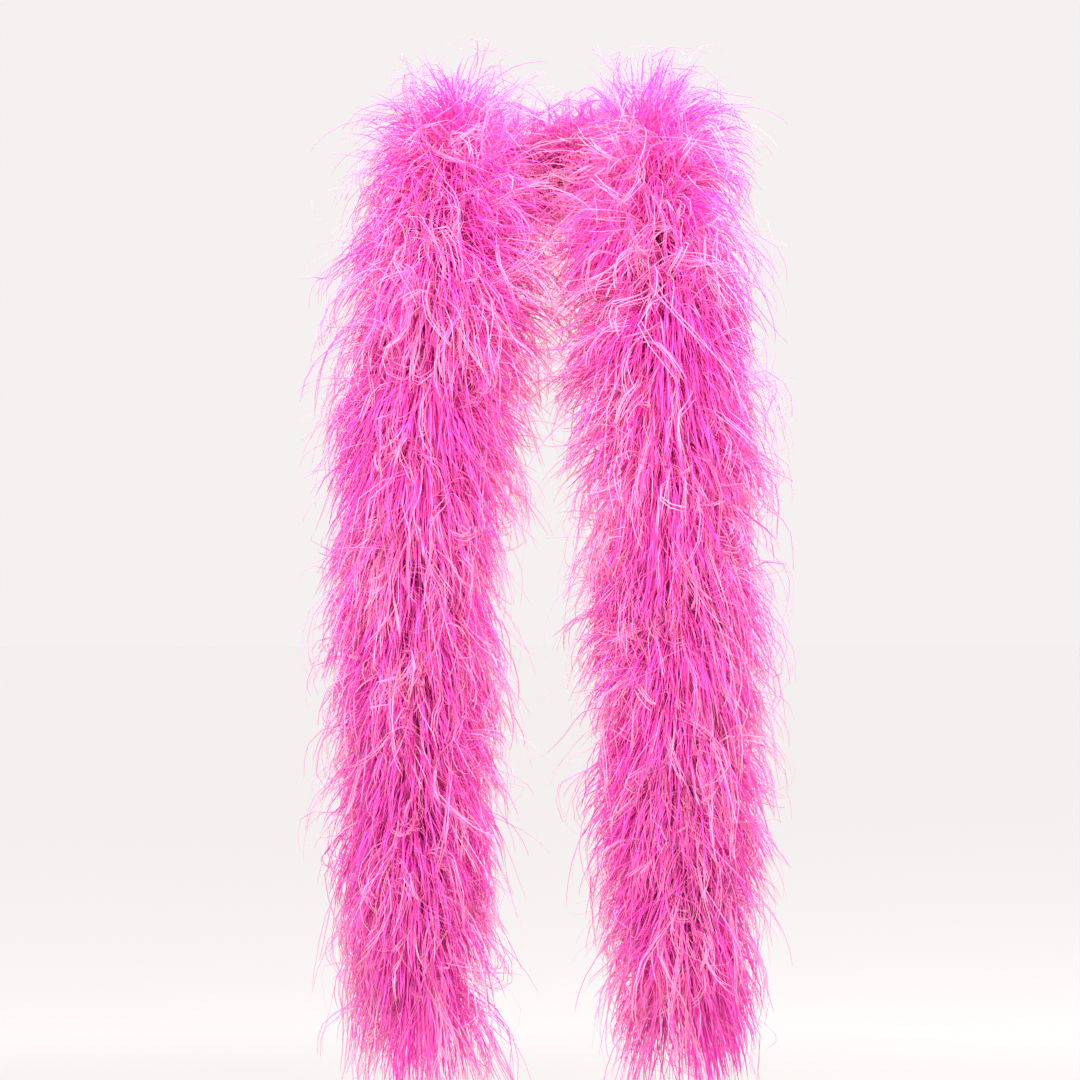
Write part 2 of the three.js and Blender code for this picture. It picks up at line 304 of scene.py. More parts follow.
def end_of_cord(side_name):
    """The cord's end and the way it points, for one side."""
    s = cord_start if side_name == "left" else cord_stop
    at, tangent = (v[0] for v in stations(np.array([s]))[:2])
    return Vector(at), Vector(-tangent if side_name == "left" else tangent)


def whipping(side_name):
    """Turns of thread side by side round the cord, as one mesh in place."""
    end, outward = end_of_cord(side_name)
    middle = end - outward * (WHIPPING_SETBACK + WHIPPING_LENGTH / 2)
    turns = int(WHIPPING_LENGTH / (2 * THREAD_RADIUS))
    deselect_all()
    bpy.ops.mesh.primitive_torus_add(
        major_segments=28, minor_segments=8, major_radius=WHIPPING_RING, minor_radius=THREAD_RADIUS,
        generate_uvs=True)
    ring = bpy.context.object
    ring.name = f"{side_name}_whipping_thread"
    bpy.ops.object.mode_set(mode="EDIT")
    bpy.ops.transform.translate(value=(0, 0, -WHIPPING_LENGTH / 2 + THREAD_RADIUS))
    for _ in range(turns - 1):
        bpy.ops.mesh.duplicate()
        bpy.ops.transform.translate(value=(0, 0, 2 * THREAD_RADIUS * THREAD_PACKING))
    bpy.ops.object.mode_set(mode="OBJECT")
    bpy.ops.object.shade_smooth()
    ring.location = middle
    ring.rotation_mode = "QUATERNION"
    ring.rotation_quaternion = outward.to_track_quat("Z", "Y")
    bpy.ops.object.transform_apply(location=True, rotation=True, scale=True)
    return ring


# %% Knot
KNOT_DIAMETER = 15 * MM
KNOT_CORD_RADIUS = 2.3 * MM
KNOT_SIDES = 14
KNOT_STEPS = 96
TREFOIL_RADIUS = 3.0  # how far the trefoil's formula reaches
KNOT_THICKENING = 1.5  # along the cord, so that the strands clear each other


def knot(side_name):
    """The knot's cord along its path, as one mesh in place."""
    end, outward = end_of_cord(side_name)
    turn = np.linspace(0, 2 * np.pi, KNOT_STEPS + 1)
    trefoil = np.stack([
        np.sin(turn) + 2 * np.sin(2 * turn),
        np.cos(turn) - 2 * np.cos(2 * turn),
        -np.sin(3 * turn)], axis=1)
    loop = trefoil[:-1] * (KNOT_DIAMETER / 2 - KNOT_CORD_RADIUS) / TREFOIL_RADIUS
    loop[:, 2] *= KNOT_THICKENING
    made = tube(
        f"{side_name}_knot_cord", loop, lambda a, d: np.full(len(a), KNOT_CORD_RADIUS), KNOT_SIDES)
    middle = end + outward * (KNOT_DIAMETER / 2 + FIT_CLEARANCE)
    deselect_all()
    made.select_set(True)
    bpy.context.view_layer.objects.active = made
    made.location = middle
    made.rotation_mode = "QUATERNION"
    made.rotation_quaternion = outward.to_track_quat("Z", "Y")
    bpy.ops.object.transform_apply(location=True, rotation=True, scale=True)
    return made


end_pieces = {}
for side_name in ("left", "right"):
    whip, tied = whipping(side_name), knot(side_name)
    for piece, node, slot in ((whip, "whipping", "binding_thread"), (tied, "knot", "core_cord")):
        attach(piece, f"{side_name}_lower")
        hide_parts(f"{side_name}_end_{node}")
    end_pieces[side_name] = [whip, tied]
    faces = [len(piece.data.polygons) for piece in end_pieces[side_name]]
    print(side_name, "end: faces of the whipping and the knot", faces)

for body, piece in cord_pieces.items():
    path = cord_paths[body]

# %% [markdown]
# ## One barb
# A barb is a tapering strand, flatter than it is wide, that ends in a fine point. It is modelled here
# upright and one unit long, as a three-sided cone cut by level rings so that it can bend. Every barb of the
# boa is a copy of one of two: a plain one for the short down near the cord, and one with more rings, closer
# together towards its tip, for the long barbs that curl there. Both have only a few dozen faces, because
# there are so many.

# %% Model the barbs
BARB_TAPER = 0.5  # how much width the barb has lost before its pointed tip
TAPER_POWER = 2.5  # the width is lost late, near the tip
BARB_FLATNESS = 0.55
DOWN_RINGS = (0.30, 0.58, 0.82)
LONG_RINGS = (0.17, 0.33, 0.48, 0.62, 0.75, 0.86, 0.94)


def model_barb(ring_heights):
    """One barb's corner heights, the corners' places across it at full width, and its faces."""
    deselect_all()
    bpy.ops.mesh.primitive_cone_add(vertices=3, radius1=1, radius2=0, depth=1, location=(0, 0, 0.5))
    bpy.ops.object.transform_apply(location=True)
    bpy.ops.object.mode_set(mode="EDIT")
    for height in ring_heights:
        bpy.ops.mesh.select_all(action="SELECT")
        bpy.ops.mesh.bisect(plane_co=(0, 0, height), plane_no=(0, 0, 1))
    bpy.ops.object.mode_set(mode="OBJECT")
    model = bpy.context.object
    points = np.array([v.co for v in model.data.vertices])
    height = points[:, 2].copy()
    width = np.where(height > 0.999, 0, 1 - BARB_TAPER * height**TAPER_POWER)
    section = points[:, :2] / np.maximum(1 - height, 1e-6)[:, None] * width[:, None]
    section[:, 1] *= BARB_FLATNESS
    loops = np.array([v for p in model.data.polygons for v in p.vertices])
    sizes = np.array([len(p.vertices) for p in model.data.polygons])
    bpy.data.objects.remove(model)
    return height, section, loops, sizes


down_barb, long_barb = model_barb(DOWN_RINGS), model_barb(LONG_RINGS)
for name, model in (("down barb", down_barb), ("long barb", long_barb)):
    print(name, len(model[0]), "vertices,", int((model[3] - 2).sum()), "triangles")

# %% [markdown]
# ## How far the pile reaches
# The barbs reach as far as they are long. Where the boa lies on the neck, the shoulders and the chest, and
# where its two arms touch, they are pressed back. This is the frame's own rule, except that soft tips may
# cross a little into the other arm's side, so the pile fills the same space.

# %% Pile radius in any direction
PLY_COUNT = 6
PLY_LAY = 0.640  # of cord in which a ply goes once round
ARM_OVERLAP = 8 * MM  # how far soft tips of one arm may cross into the other's side
FRONT_DEPTH = 0.1  # this far before the neck, it is the chest and no longer the neck that presses
SHOULDER_REST_Z = -0.04  # above this the pile's underside lies on the shoulders
UNDERSIDE_FLATTENING = 0.3


def pile_radius(at, direction, pile, flat):
    """How far the pile reaches from the cord at each place, in each direction."""
    toward = unit(np.stack([-at[:, 0], -at[:, 1], 0 * at[:, 0]], axis=1))
    front = np.clip(-at[:, 1] / FRONT_DEPTH, 0, 1)
    front = (front * front * (3 - 2 * front))[:, None]
    toward = unit(toward * (1 - front) + np.array([0, 1.0, 0]) * front)
    facing = np.maximum(0, (direction * toward).sum(1))
    resting = np.where(at[:, 2] > SHOULDER_REST_Z, np.maximum(0, -direction[:, 2]), 0)
    reach = pile * (1 - flat * facing**1.5) * (1 - UNDERSIDE_FLATTENING * resting**2)
    along_axis = at[:, 0] * direction[:, 0] + at[:, 1] * direction[:, 1]
    level = direction[:, 0] ** 2 + direction[:, 1] ** 2
    root = along_axis**2 - level * (at[:, 0] ** 2 + at[:, 1] ** 2 - NECK_OPENING_RADIUS**2)
    meets = (along_axis < 0) & (root > 0)
    nearer = -along_axis - np.sqrt(np.maximum(root, 0))
    to_neck = np.where(meets, nearer / np.maximum(level, 1e-9), np.inf)
    inward = -np.sign(at[:, 0]) * direction[:, 0]
    room = np.abs(at[:, 0]) + ARM_OVERLAP
    to_arm = np.where((inward > 0) & (at[:, 1] < 0), room / np.maximum(inward, 1e-9), np.inf)
    return np.minimum(reach, np.minimum(to_neck, to_arm))


# %% [markdown]
# ## The way a barb falls
# Simulating more than fifty thousand strands would take far too long, so each strand's curve is summed up
# step by step, as a bending reed's would be: it starts in the direction that it grows in, and every step
# turns it a little towards the ground, more where it is thin. A slow wave and, on the long ones, a hook at
# the tip are turned in the same way.

# %% Curves under their own weight
GRAVITY = np.array([0, 0, -1.0])
STIFF_ROOT, SOFT_TIP = 0.35, 1.3  # how much a strand gives way at its root, and how much more at its tip
WAVE_TURNS = (3.5, 8)  # radians of wave along a strand
HOOK_STARTS, HOOK_RAMP = 0.72, 0.1  # as shares of the strand's length
HOOK_STRENGTHS = (0.2, 1.2)
LEAST_SPREAD = 0.3  # a strand that goes less far sideways than this share of its length isn't grown more


def falling(start, droop, draw, steps, wave=0.0, hook=0.0):
    """Curves of length one, (n, steps + 1, 3) from the root, from directions that turn downwards."""
    n = len(start)
    wave_a, wave_b, hook_way = draw.normal(0, 1, (3, n, 3))
    hook_way = hook_way * draw.uniform(*HOOK_STRENGTHS, (n, 1))
    phase, turns = draw.uniform(0, 6.3, (n, 1)), draw.uniform(*WAVE_TURNS, (n, 1))
    way, place, places = start, np.zeros((n, 3)), [np.zeros((n, 3))]
    for i in range(steps):
        share = (i + 0.5) / steps
        pull = GRAVITY * droop[:, None] * (STIFF_ROOT + SOFT_TIP * share)
        turned = phase + turns * share
        pull = pull + wave * (wave_a * np.cos(turned) + wave_b * np.sin(turned))
        pull = pull + hook * hook_way * np.clip((share - HOOK_STARTS) / HOOK_RAMP, 0, 1)
        way = unit(way + pull / steps)
        place = place + way / steps
        places.append(place)
    return np.stack(places, axis=1)


def grown(curve, tangent, reach, shortest, longest):
    """The length at which each curve reaches as far from the cord's line as it should."""
    across = curve - tangent[:, None, :] * (curve * tangent[:, None, :]).sum(-1, keepdims=True)
    widest = np.maximum(np.linalg.norm(across, axis=-1).max(1), LEAST_SPREAD)
    return np.clip(reach / widest, shortest, longest)


def sideways(curve, tangent):
    """The direction across the cord in which each curve goes."""
    middle = curve[:, curve.shape[1] * 2 // 3]
    return unit(middle - tangent * (middle * tangent).sum(1, keepdims=True))


# %% [markdown]
# ## Down and wisps
# On a ply there are two looks at once. The down stands apart, soft and dense, and hides the cord. The long
# barbs cling together: four of them, rooted about a finger's width apart, draw together into one twisted
# wisp with a curled tip, and their roots and their tip make the tent shapes that a boa is full of. A few
# strays cling to nothing.
#
# Strands side by side on a quill lie the same way, and a strand's way is partly its own. So each direction,
# droop and length below is a middle value, plus a drift that neighbours share, plus a little noise.

# %% Where the barbs of a ply grow
QUILL_WIDTH, QUILL_THICKNESS = 2.6 * MM, 0.9 * MM
ROOT_RADIUS = CORD_RADIUS + 1.0 * MM
ROOT_MARGIN = 2 * MM  # from the cord's ends to the first and last roots
DOWN_PER_METRE, WISPS_PER_METRE, STRAYS_PER_METRE = 2700, 430, 90  # along each ply
ROUND_NOISE, ROUND_DRIFT = 0.55, 0.6  # how far a barb's own angle round the cord strays from its ply's
LEAN_NOISE, LEAN_DRIFT = 0.08, 0.3  # the same for its lean along the cord
WAY_NOISE, WAY_DRIFT = 0.04, 0.14  # and for its direction in space
END_REACH, END_LEAN = 50 * MM, 1.6  # this near the cord's ends, the barbs also lean past it, by up to this


def rise(value, start, span):
    """From 0 at start to 1 a span further on."""
    return np.clip((value - start) / span, 0, 1)


def drift(s, spacing, draw, columns=1):
    """Smooth random values along the route, of spread one, so that barbs side by side go the same way."""
    knots = np.arange(cord_start - spacing, cord_stop + 2 * spacing, spacing)
    return np.stack([np.interp(s, knots, draw.normal(0, 1, len(knots))) for _ in range(columns)], axis=1)


def rooted(ply, s, draw, spread):
    """For roots at distances s: the station, the root's place, and the direction the barb starts in."""
    at, tangent, side_a, side_b, pile, flat = stations(s)
    angle = 2 * np.pi * (ply / PLY_COUNT + s / PLY_LAY)
    quill_angle = angle + draw.uniform(-0.5, 0.5, len(s)) * QUILL_WIDTH / ROOT_RADIUS
    root = at + ROOT_RADIUS * (
        np.cos(quill_angle)[:, None] * side_a + np.sin(quill_angle)[:, None] * side_b)
    angle = angle + draw.normal(0, ROUND_NOISE * spread, len(s))
    angle = angle + ROUND_DRIFT * spread * drift(s, 34 * MM, draw)[:, 0]
    radial = np.cos(angle)[:, None] * side_a + np.sin(angle)[:, None] * side_b
    to_end = np.minimum(s - cord_start, cord_stop - s)
    outward = np.where(s < (cord_start + cord_stop) / 2, -1.0, 1.0)[:, None] * tangent
    ending = np.clip(1 - to_end / END_REACH, 0, 1) * draw.uniform(0, END_LEAN, len(s))
    lean = (LEAN_DRIFT * drift(s, 40 * MM, draw) + draw.normal(0, LEAN_NOISE, (len(s), 1))) * tangent
    noise = WAY_DRIFT * drift(s, 26 * MM, draw, 3) + draw.normal(0, WAY_NOISE, (len(s), 3))
    return (at, tangent, pile, flat), root, unit(radial + lean + ending[:, None] * outward + noise)


def places_along(low, high, per_metre, draw):
    """Distances along the route, evenly spread but not in step."""
    low, high = max(low, cord_start + ROOT_MARGIN), min(high, cord_stop - ROOT_MARGIN)
    count = int((high - low) * per_metre)
    return low + (np.arange(count) + draw.uniform(0, 1, count)) * (high - low) / count


# %% Where the pile is fuller
STRIP_LENGTH = 120 * MM  # of each strip of feather in a ply
STRIP_STAGGER = 0.37  # of a strip, from one ply to the next
THIN_PLACE, STRIP_RISE = 0.76, 0.42  # the pile's fullness between strips, and what a strip's middle adds
NECK_RISE, CHEST_RISE = 0.62, 0.34  # what is added beside the neck and towards the middle of the chest
UPWARD_HOLD, CHEST_HOLD = 0.35, 0.55  # how much of its droop a barb is spared


def fullness(ply, s, at, direction):
    """Each strip in a ply makes a tuft of its own; tufts are tall beside the neck and wide on the chest."""
    strip = np.abs(np.sin(np.pi * (s / STRIP_LENGTH + ply * STRIP_STAGGER)))
    beside = rise(at[:, 2], -0.07, 0.05) * rise(-at[:, 1], -0.06, 0.05) * np.clip(direction[:, 2], 0, 1)
    chest = rise(at[:, 2], -0.27, 0.08) * (at[:, 1] < -0.05)
    inward = np.clip(-np.sign(at[:, 0]) * direction[:, 0], 0, 1)
    return THIN_PLACE + STRIP_RISE * strip + NECK_RISE * beside * (1 - inward) + CHEST_RISE * chest * inward


def held_up(at, start):
    """How much less a barb droops: those that start upwards or lie on the wearer's chest are held up."""
    chest = rise(at[:, 2], -0.30, 0.08) * (at[:, 1] < -0.04)
    inward = np.clip(-np.sign(at[:, 0]) * start[:, 0], 0, 1)
    return (1 - UPWARD_HOLD * np.clip(start[:, 2], 0, 1)) * (1 - CHEST_HOLD * chest * inward)


# %% Down
DOWN_STEPS = 6
DOWN_SPREAD = 0.85  # how widely its barbs fan out round the cord
DOWN_LENGTHS = (30 * MM, 130 * MM)
DOWN_REACHES = (0.26, 0.94)  # of the way to the pile's surface
DOWN_WIDTHS = (0.75, 1.3)  # mm, wider than a barb, because they stand for its fringe of barbules too
# The down, deep in the pile, takes the deeper half of the shades: partly the dye's spread, partly painted
# shade.
DOWN_SHADES = (0, 0.5)


def lay_down(ply, low, high, draw):
    """Centrelines, widths and shades of the barbs that stand apart."""
    s = places_along(low, high, DOWN_PER_METRE, draw)
    (at, tangent, pile, flat), root, start = rooted(ply, s, draw, DOWN_SPREAD)
    droop = np.clip(2.1 + 0.7 * drift(s, 50 * MM, draw)[:, 0], 0.8, 4) * held_up(at, start)
    curve = falling(start, droop, draw, DOWN_STEPS, wave=0.6)
    way = sideways(curve, tangent)
    reach = pile_radius(at, way, pile, flat) * fullness(ply, s, at, way)
    reach = reach * draw.uniform(*DOWN_REACHES, len(s))
    size = grown(curve, tangent, reach, *DOWN_LENGTHS)
    lines = root[:, None, :] + curve * size[:, None, None]
    return lines, draw.uniform(*DOWN_WIDTHS, len(s)) * MM, draw.uniform(*DOWN_SHADES, len(s))


# %% Wisps
LONG_STEPS = 18
BARBS_PER_WISP = 4
WISP_SPREAD = 0.5
WISP_LENGTHS = (65 * MM, 195 * MM)
WISP_REACHES, WISP_DRIFT = (0.62, 1.02), 0.11  # of the way to the pile's surface
PALE_REACH = 0.08  # pale wisps lie a little further out
WISP_ROOTS = 8 * MM  # how far apart along the quill a wisp's barbs are rooted
OWN_SPREAD, OWN_WAY = 0.3, 0.5  # how much of a barb's own direction it keeps within its wisp
OWN_LENGTHS, OWN_DROOPS = (0.78, 1.04), (0.8, 1.2)  # of its wisp's
TWIST_RADIUS, TWIST_TURN = 0.6 * MM, 14  # the barbs wind round their wisp, by this angle from root to tip
TIGHT_HOLDS = (0.86, 1.0)  # how firmly the wisp holds a barb
LOOSE_SHARE, LOOSE_HOLD = 0.12, 0.25  # some barbs are hardly held
GATHER_STARTS, GATHER_SPAN = 0.08, 0.5  # where along a barb the wisp draws it in
PALE_SHARE = 0.42  # of the wisps are paler: partly less dye, partly a painted highlight, as they lie further out
PALE_SHADES, DEEP_WISP_SHADES = (0.78, 0.94), (0.5, 0.72)
WISP_WIDTHS, PALE_WIDENING = (0.42, 0.72), 1.45  # mm


def lay_wisps(ply, low, high, draw):
    """Centrelines, widths and shades of the barbs that cling together."""
    s = places_along(low, high, WISPS_PER_METRE, draw)
    (at, tangent, pile, flat), root, start = rooted(ply, s, draw, WISP_SPREAD)
    droop = np.clip(2.0 + 0.9 * drift(s, 45 * MM, draw)[:, 0] + draw.normal(0, 0.6, len(s)), 0.6, 5)
    droop = droop * held_up(at, start)
    curve = falling(start, droop, draw, LONG_STEPS, wave=1.7, hook=6.5)
    way = sideways(curve, tangent)
    pale = draw.uniform(0, 1, len(s)) < PALE_SHARE
    share_out = draw.uniform(*WISP_REACHES, len(s)) + PALE_REACH * pale
    share_out = share_out + WISP_DRIFT * drift(s, 24 * MM, draw)[:, 0]
    reach = pile_radius(at, way, pile, flat) * fullness(ply, s, at, way) * share_out
    size = grown(curve, tangent, reach, *WISP_LENGTHS)
    wisp = root[:, None, :] + curve * size[:, None, None]

    which = np.repeat(np.arange(len(s)), BARBS_PER_WISP)
    n = len(which)
    own_s = s[which] + draw.normal(0, WISP_ROOTS, n)
    own_s = np.clip(own_s, cord_start + ROOT_MARGIN, cord_stop - ROOT_MARGIN)
    _, own_root, own_start = rooted(ply, own_s, draw, OWN_SPREAD)
    own_start = unit(start[which] + OWN_WAY * (own_start - start[which]))
    own_size = size[which] * draw.uniform(*OWN_LENGTHS, n)
    own_droop = droop[which] * draw.uniform(*OWN_DROOPS, n)
    own = falling(own_start, own_droop, draw, LONG_STEPS, wave=0.8)
    own = own_root[:, None, :] + own * own_size[:, None, None]
    share = np.linspace(0, 1, LONG_STEPS + 1)[None, :, None]
    twist_a, twist_b = draw.normal(0, TWIST_RADIUS, (2, n, 1, 3))
    twist = twist_a * np.cos(TWIST_TURN * share) + twist_b * np.sin(TWIST_TURN * share)
    stretch = (own_size / size[which])[:, None, None]
    together = own_root[:, None, :] + (wisp[which] - own_root[:, None, :]) * stretch
    loose = draw.uniform(0, 1, n) < LOOSE_SHARE
    hold = np.where(loose, LOOSE_HOLD, draw.uniform(*TIGHT_HOLDS, n))[:, None, None]
    pull = rise(share, GATHER_STARTS, GATHER_SPAN)
    pull = pull * pull * (3 - 2 * pull) * hold
    lines = own + (together + twist - own) * pull
    # Pale wisps get the paler shades: partly the dye's spread, partly painted highlight.
    shade = np.where(pale, draw.uniform(*PALE_SHADES, len(s)), draw.uniform(*DEEP_WISP_SHADES, len(s)))
    widths = draw.uniform(*WISP_WIDTHS, n) * np.where(pale, PALE_WIDENING, 1.0)[which] * MM
    return lines, widths, shade[which] + draw.uniform(0, 0.05, n)


# %% Strays
STRAY_SPREAD = 0.6
STRAY_DROOPS = (0.4, 2.0)
STRAY_LENGTHS = (60 * MM, 175 * MM)
STRAY_REACHES = (1.0, 1.25)
# The strays, at the outside of the pile, take pale shades: partly the dye's spread, partly painted
# highlight.
STRAY_WIDTHS, STRAY_SHADES = (0.3, 0.5), (0.6, 0.99)  # the widths in mm


def lay_strays(ply, low, high, draw):
    """Centrelines, widths and shades of the long barbs that stand alone."""
    s = places_along(low, high, STRAYS_PER_METRE, draw)
    (at, tangent, pile, flat), root, start = rooted(ply, s, draw, STRAY_SPREAD)
    curve = falling(start, draw.uniform(*STRAY_DROOPS, len(s)), draw, LONG_STEPS, wave=2.2, hook=3.0)
    way = sideways(curve, tangent)
    reach = pile_radius(at, way, pile, flat) * fullness(ply, s, at, way)
    reach = reach * draw.uniform(*STRAY_REACHES, len(s))
    size = grown(curve, tangent, reach, *STRAY_LENGTHS)
    lines = root[:, None, :] + curve * size[:, None, None]
    return lines, draw.uniform(*STRAY_WIDTHS, len(s)) * MM, draw.uniform(*STRAY_SHADES, len(s))


# %% [markdown]
# The barbs stay out of the wearer's neck and inside the boa's own size: the few points that would stray are
# drawn back to the limit.

# %% Keep barbs clear of the neck and inside the box
STRAY_ROOM = 0.9  # share used of the margin round the frame's box, 3 % of its size and 10 mm
NECK_CLEAR, NECK_BOTTOM = 51 * MM, -0.09  # the neck's radius and its lower end
SOFT_EDGE = 20 * MM  # the last part of the way, over which points slow down towards the limit
low_corner, high_corner = (np.array(corner) for corner in cad_box)
proud = (0.03 * (high_corner - low_corner) + 0.010) * STRAY_ROOM


def kept_in(points):
    """The points, drawn back out of the neck and inside the limit."""
    flat = points[..., :2]
    distance = np.linalg.norm(flat, axis=-1)
    inside = (distance < NECK_CLEAR) & (points[..., 2] > NECK_BOTTOM)
    push = np.where(inside, NECK_CLEAR / np.maximum(distance, 1e-6), 1)
    points = np.concatenate([flat * push[..., None], points[..., 2:]], axis=-1)
    low, high = low_corner - proud, high_corner + proud
    over, under = points - (high - SOFT_EDGE), (low + SOFT_EDGE) - points
    points = np.where(over > 0, high - SOFT_EDGE + SOFT_EDGE * np.tanh(over / SOFT_EDGE), points)
    return np.where(under > 0, low + SOFT_EDGE - SOFT_EDGE * np.tanh(under / SOFT_EDGE), points)


# %% [markdown]
# ## Building a ply
# One function copies the barb along every centreline, all at once with arrays, and adds the quill strip
# that they grow from. The texture map is laid so that across is the column of each barb's own shade, and up
# is the way from root to tip. A material that reads this map then gives every barb its own shade, in every
# pose.

# %% Barbs as one mesh
COLUMNS = 64  # shades across the map
COLUMN_FILL = 0.3  # half the share of its column that a barb takes
MAP_MARGIN = 0.02  # left free at the map's top and bottom


def barb_mesh(model, lines, widths, columns):
    """Vertices, loops, face sizes and UVs of the barb copied along each centreline."""
    barb_height, barb_section, barb_loops, barb_sizes = model
    n = len(lines)
    at_ring = barb_height * (lines.shape[1] - 1)
    lower = np.minimum(at_ring.astype(int), lines.shape[1] - 2)
    part = (at_ring - lower)[None, :, None]
    centre = lines[:, lower] * (1 - part) + lines[:, lower + 1] * part
    way = unit(lines[:, lower + 1] - lines[:, lower])
    roll = unit(rng.normal(0, 1, (n, 1, 3)))
    flat_way = unit(np.cross(way, roll))
    thin_way = np.cross(way, flat_way)
    offset = barb_section[None, :, :1] * flat_way + barb_section[None, :, 1:] * thin_way
    vertices = centre + offset * widths[:, None, None]
    loops = (barb_loops[None, :] + len(barb_height) * np.arange(n)[:, None]).ravel()
    column = (np.floor(columns * COLUMNS) + 0.5) / COLUMNS
    across = COLUMN_FILL / COLUMNS * np.sign(barb_section[:, 0])
    u = column[:, None] + across[barb_loops][None, :]
    v = np.broadcast_to(MAP_MARGIN + (1 - 2 * MAP_MARGIN) * barb_height[barb_loops], u.shape)
    return vertices.reshape(-1, 3), loops, np.tile(barb_sizes, n), np.stack([u, v], axis=-1).reshape(-1, 2)


# %% Quill strip
QUILL_STEP = 7 * MM
QUILL_SETBACK = 24 * MM  # from the cord's ends, clear of the whipping
QUILL_HEIGHT = 0.6 * MM  # of its underside above the cord


def quill_mesh(ply, low, high):
    """A flat strip, closed all round, wound on the cord."""
    low, high = max(low, cord_start + QUILL_SETBACK), min(high, cord_stop - QUILL_SETBACK)
    s = np.linspace(low, high, max(2, int((high - low) / QUILL_STEP)) + 1)
    at, tangent, side_a, side_b, _, _ = stations(s)
    angle = 2 * np.pi * (ply / PLY_COUNT + s / PLY_LAY)
    radial = np.cos(angle)[:, None] * side_a + np.sin(angle)[:, None] * side_b
    wide = np.cross(tangent, radial)
    rings = []
    for across, out in ((-1, 0), (1, 0), (1, 1), (-1, 1)):
        rings.append(at + radial * (CORD_RADIUS + QUILL_HEIGHT + out * QUILL_THICKNESS)
                     + wide * across * QUILL_WIDTH / 2)
    vertices = np.stack(rings, axis=1).reshape(-1, 3)
    base = 4 * np.arange(len(s) - 1)[:, None]
    sides = [np.array([k, (k + 1) % 4, (k + 1) % 4 + 4, k + 4]) for k in range(4)]
    loops = np.concatenate([(base + side_loop).ravel() for side_loop in sides])
    sizes = np.full(len(loops) // 4 + 2, 4)
    end = 4 * (len(s) - 1)
    loops = np.concatenate([loops, [3, 2, 1, 0, end, end + 1, end + 2, end + 3]])
    uvs = np.stack([0.1 + 0.8 * (loops % 4) / 3, np.clip(loops // 4 / len(s), 0, 1)], axis=1)
    return vertices, loops, sizes, uvs


# %% A ply as one piece
def ply_piece(name, ply, low, high, draw):
    """One length of a ply, with its barbs and its quill, and how many triangles it has."""
    layers = [(down_barb, lay_down), (long_barb, lay_wisps), (long_barb, lay_strays)]
    parts = []
    for model, lay in layers:
        lines, widths, columns = lay(ply, low, high, draw)
        parts.append(barb_mesh(model, kept_in(lines), widths, columns))
    barb_faces = sum(len(p[2]) for p in parts)
    parts.append(quill_mesh(ply, low, high))
    shifts = np.cumsum([0] + [len(p[0]) for p in parts])
    vertices = np.concatenate([p[0] for p in parts]).astype(np.float32)
    loops = np.concatenate([p[1] + shift for p, shift in zip(parts, shifts)])
    sizes = np.concatenate([p[2] for p in parts])
    uvs = np.concatenate([p[3] for p in parts]).astype(np.float32)
    mesh = bpy.data.meshes.new(name)
    mesh.vertices.add(len(vertices))
    mesh.vertices.foreach_set("co", vertices.ravel())
    mesh.loops.add(len(loops))
    mesh.loops.foreach_set("vertex_index", loops.astype(np.int32))
    mesh.polygons.add(len(sizes))
    mesh.polygons.foreach_set("loop_start", (np.cumsum(sizes) - sizes).astype(np.int32))
    mesh.uv_layers.new(name="OFBake").data.foreach_set("uv", uvs.ravel())
    is_quill = np.arange(len(sizes)) >= barb_faces  # the second material
    mesh.polygons.foreach_set("material_index", is_quill.astype(np.int32))
    mesh.polygons.foreach_set("use_smooth", np.ones(len(sizes), bool))
    mesh.update(calc_edges=True)
    mesh.validate()
    piece = bpy.data.objects.new(name, mesh)
    bpy.context.scene.collection.objects.link(piece)
    return piece, int((sizes - 2).sum())


# %% [markdown]
# ## Plies on the moving frame
# The boa bends at any place, and the frame bends at three joints in each arm. So the plies are divided
# halfway between the joints, not at them, and each piece has a joint in its middle.

# %% Where the plies are divided
NECK_WAY = 0.19  # stands for the way to a next joint there: the neck's own plies start half of it further
joint_s = {body: length_at(index) for body, index in JOINTS.items()}
zones = {}
for body, s in joint_s.items():
    left = body.startswith("left")
    inner = joint_s.get(PARENTS[body], s + (NECK_WAY if left else -NECK_WAY))
    outer_body = next((b for b, p in PARENTS.items() if p == body), None)
    if outer_body is None:
        outer = 0.0 if left else line_length[-1]
    else:
        outer = (s + joint_s[outer_body]) / 2
    zones[body] = tuple(sorted((outer, (s + inner) / 2)))
zones["neck"] = (zones["left_upper"][1], zones["right_upper"][0])

# %% Make all the plies
ply_pieces = []
total = 0
for number, (body, (low, high)) in enumerate(sorted(zones.items())):
    for ply in range(PLY_COUNT):
        draw = np.random.default_rng(SEED + 100 * number + ply)
        piece, triangles = ply_piece(f"{body}_feathers_{ply + 1}", ply, low, high, draw)
        if body == "neck":
            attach(piece, body)
        else:
            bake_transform(piece)
        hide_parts(f"{body}_ply_{ply + 1}")
        ply_pieces.append(piece)
        total += triangles
    print(body, "plies from", round(low, 3), "to", round(high, 3), "m,", triangles, "triangles in the last")
print("triangles in all plies:", total)

# %% [markdown]
# ## Materials
# Colours are written as sRGB hex values, and one function turns them to the linear values that shaders use.

# %% Material helpers
def linear(hex_colour):
    """An sRGB hex colour as the linear colour of a shader, with full alpha."""
    parts = [int(hex_colour[i:i + 2], 16) / 255 for i in (1, 3, 5)]
    return (*(c / 12.92 if c <= 0.04045 else ((c + 0.055) / 1.055) ** 2.4 for c in parts), 1)


